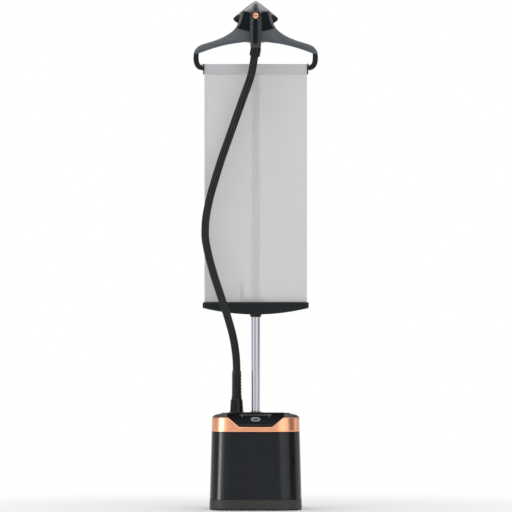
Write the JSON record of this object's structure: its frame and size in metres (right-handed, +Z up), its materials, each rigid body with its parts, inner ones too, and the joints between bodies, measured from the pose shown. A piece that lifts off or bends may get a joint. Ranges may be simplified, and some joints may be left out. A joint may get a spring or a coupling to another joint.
{
  "type": "garment steamer",
  "caption": "Upright garment steamer: steam base with water tank, telescopic pole, clothes hanger, roll-up pressing board and a kite-shaped handset on a braided hose.",
  "frame": {"origin": "on the floor, under the centre of the base", "axes": "+Z up along the pole, -Y towards the user and the control panel, +X to the user's right"},
  "size_m": [0.4048, 0.2898, 1.651],
  "materials": {
    "body_gloss": "high gloss blue-black",
    "panel_satin": "satin black",
    "copper_trim": "polished copper-coloured plating",
    "skirt_plastic": "satin olive grey",
    "silver_trim": "satin silver plating",
    "pole_metal": "polished",
    "inner_steel": "brushed",
    "hanger_plastic": "satin slate grey",
    "black_plastic": "satin black",
    "gloss_black": "gloss black",
    "head_grey": "satin silver-grey",
    "sole_metal": "fine brushed",
    "handle_grey": "fine-textured dark grey",
    "hose_braid": "black diagonal textile braid",
    "rubber_black": "matt",
    "board_mesh": "light grey translucent mesh",
    "tank_smoke": "smoke-tinted clear plastic",
    "circuit_green": "solder mask green",
    "white_plastic": "natural white"
  },
  "bodies": {
    "base": {"base_plate": "black_plastic", "base_skirt": "skirt_plastic", "body_shell": "body_gloss", "copper_band": "copper_trim", "top_panel": "panel_satin", "control_panel": "panel_satin", "button_bezel": "silver_trim", "scale_lens": "gloss_black", "hose_connector": "black_plastic", "hose_relief": "rubber_black", "foot_left": "rubber_black", "foot_right": "rubber_black", "wheel_axle": "inner_steel", "boiler": "inner_steel", "heating_element": "inner_steel", "thermostat": "white_plastic", "steam_tube": "white_plastic", "water_pump": "white_plastic", "feed_tube": "white_plastic", "pump_tube": "white_plastic", "control_board": "circuit_green", "power_inlet": "black_plastic", "tank_bay": "black_plastic", "lower_tube": "pole_metal", "lower_lock_collar": "black_plastic", "roller_case": "black_plastic", "case_end_left": "black_plastic", "case_end_right": "black_plastic", "board_fabric": "board_mesh", "case_bracket": "black_plastic", "hose_lower": "hose_braid"},
    "mast": {"upper_tube": "pole_metal", "upper_lock_collar": "black_plastic", "hanger_stem": "black_plastic", "hanger_hub": "hanger_plastic", "hanger_arm_left": "hanger_plastic", "hanger_arm_right": "hanger_plastic", "end_hook_left": "black_plastic", "end_hook_right": "black_plastic", "cradle_panel": "gloss_black", "board_top_bar": "board_mesh", "hose_upper": "hose_braid"},
    "handset": {"soleplate": "sole_metal", "head_rim": "black_plastic", "head_cover": "head_grey", "handle_shell_left": "handle_grey", "handle_shell_right": "handle_grey", "handle_inlay": "gloss_black", "steam_pipe": "white_plastic", "handle_cuff": "black_plastic"},
    "thumb_button": {"steam_button": "copper_trim"},
    "start_button": {"power_button": "silver_trim"},
    "tank": {"water_tank": "tank_smoke", "tank_lid": "panel_satin"},
    "cap": {"filler_cap": "silver_trim"},
    "lower_lever": {"lower_lock_lever": "black_plastic"},
    "upper_lever": {"upper_lock_lever": "black_plastic"},
    "roller": {"roller_tube": "pole_metal"},
    "left_wheel": {"wheel_left": "rubber_black"},
    "right_wheel": {"wheel_right": "rubber_black"}
  },
  "joints": [
    {"name": "mast_slide", "type": "slide", "parent": "base", "child": "mast", "axis": [0, 0, 1], "range_m": [-0.26, 0], "deforming": ["board_fabric", "hose_lower"]},
    {"name": "handset_lift", "type": "slide", "parent": "mast", "child": "handset", "axis": [0, 0, 1], "range_m": [0, 0.1], "deforming": ["hose_upper"]},
    {"name": "thumb_press", "type": "slide", "parent": "handset", "child": "thumb_button", "axis": [0, 1, 0], "range_m": [0, 0.0025], "stiffness_N_per_m": 400, "springref_m": -0.001},
    {"name": "start_press", "type": "slide", "parent": "base", "child": "start_button", "axis": [0, 0.6497, -0.7602], "range_m": [0, 0.0015], "stiffness_N_per_m": 400, "springref_m": -0.001},
    {"name": "tank_lift", "type": "slide", "parent": "base", "child": "tank", "axis": [0, 0, 1], "range_m": [0, 0.23]},
    {"name": "cap_flip", "type": "hinge", "parent": "tank", "child": "cap", "pos_m": [0.045, 0.1065, 0.3095], "axis": [-1, 0, 0], "range_deg": [0, 110]},
    {"name": "lower_lever_flip", "type": "hinge", "parent": "base", "child": "lower_lever", "pos_m": [0, 0.021, 1.0665], "axis": [1, 0, 0], "range_deg": [0, 100]},
    {"name": "upper_lever_flip", "type": "hinge", "parent": "mast", "child": "upper_lever", "pos_m": [0, 0.021, 1.369], "axis": [1, 0, 0], "range_deg": [0, 100]},
    {"name": "roller_spin", "type": "hinge", "parent": "base", "child": "roller", "pos_m": [0, -0.0453, 0.6623], "axis": [1, 0, 0], "range_deg": [-1790, 0]},
    {"name": "left_wheel_spin", "type": "hinge", "parent": "base", "child": "left_wheel", "pos_m": [-0.105, 0.105, 0.025], "axis": [1, 0, 0], "continuous": true},
    {"name": "right_wheel_spin", "type": "hinge", "parent": "base", "child": "right_wheel", "pos_m": [0.105, 0.105, 0.025], "axis": [1, 0, 0], "continuous": true}
  ],
  "couplings": [
    {"joint": "roller_spin", "follows": "mast_slide", "rad_per_m": 120}
  ]
}
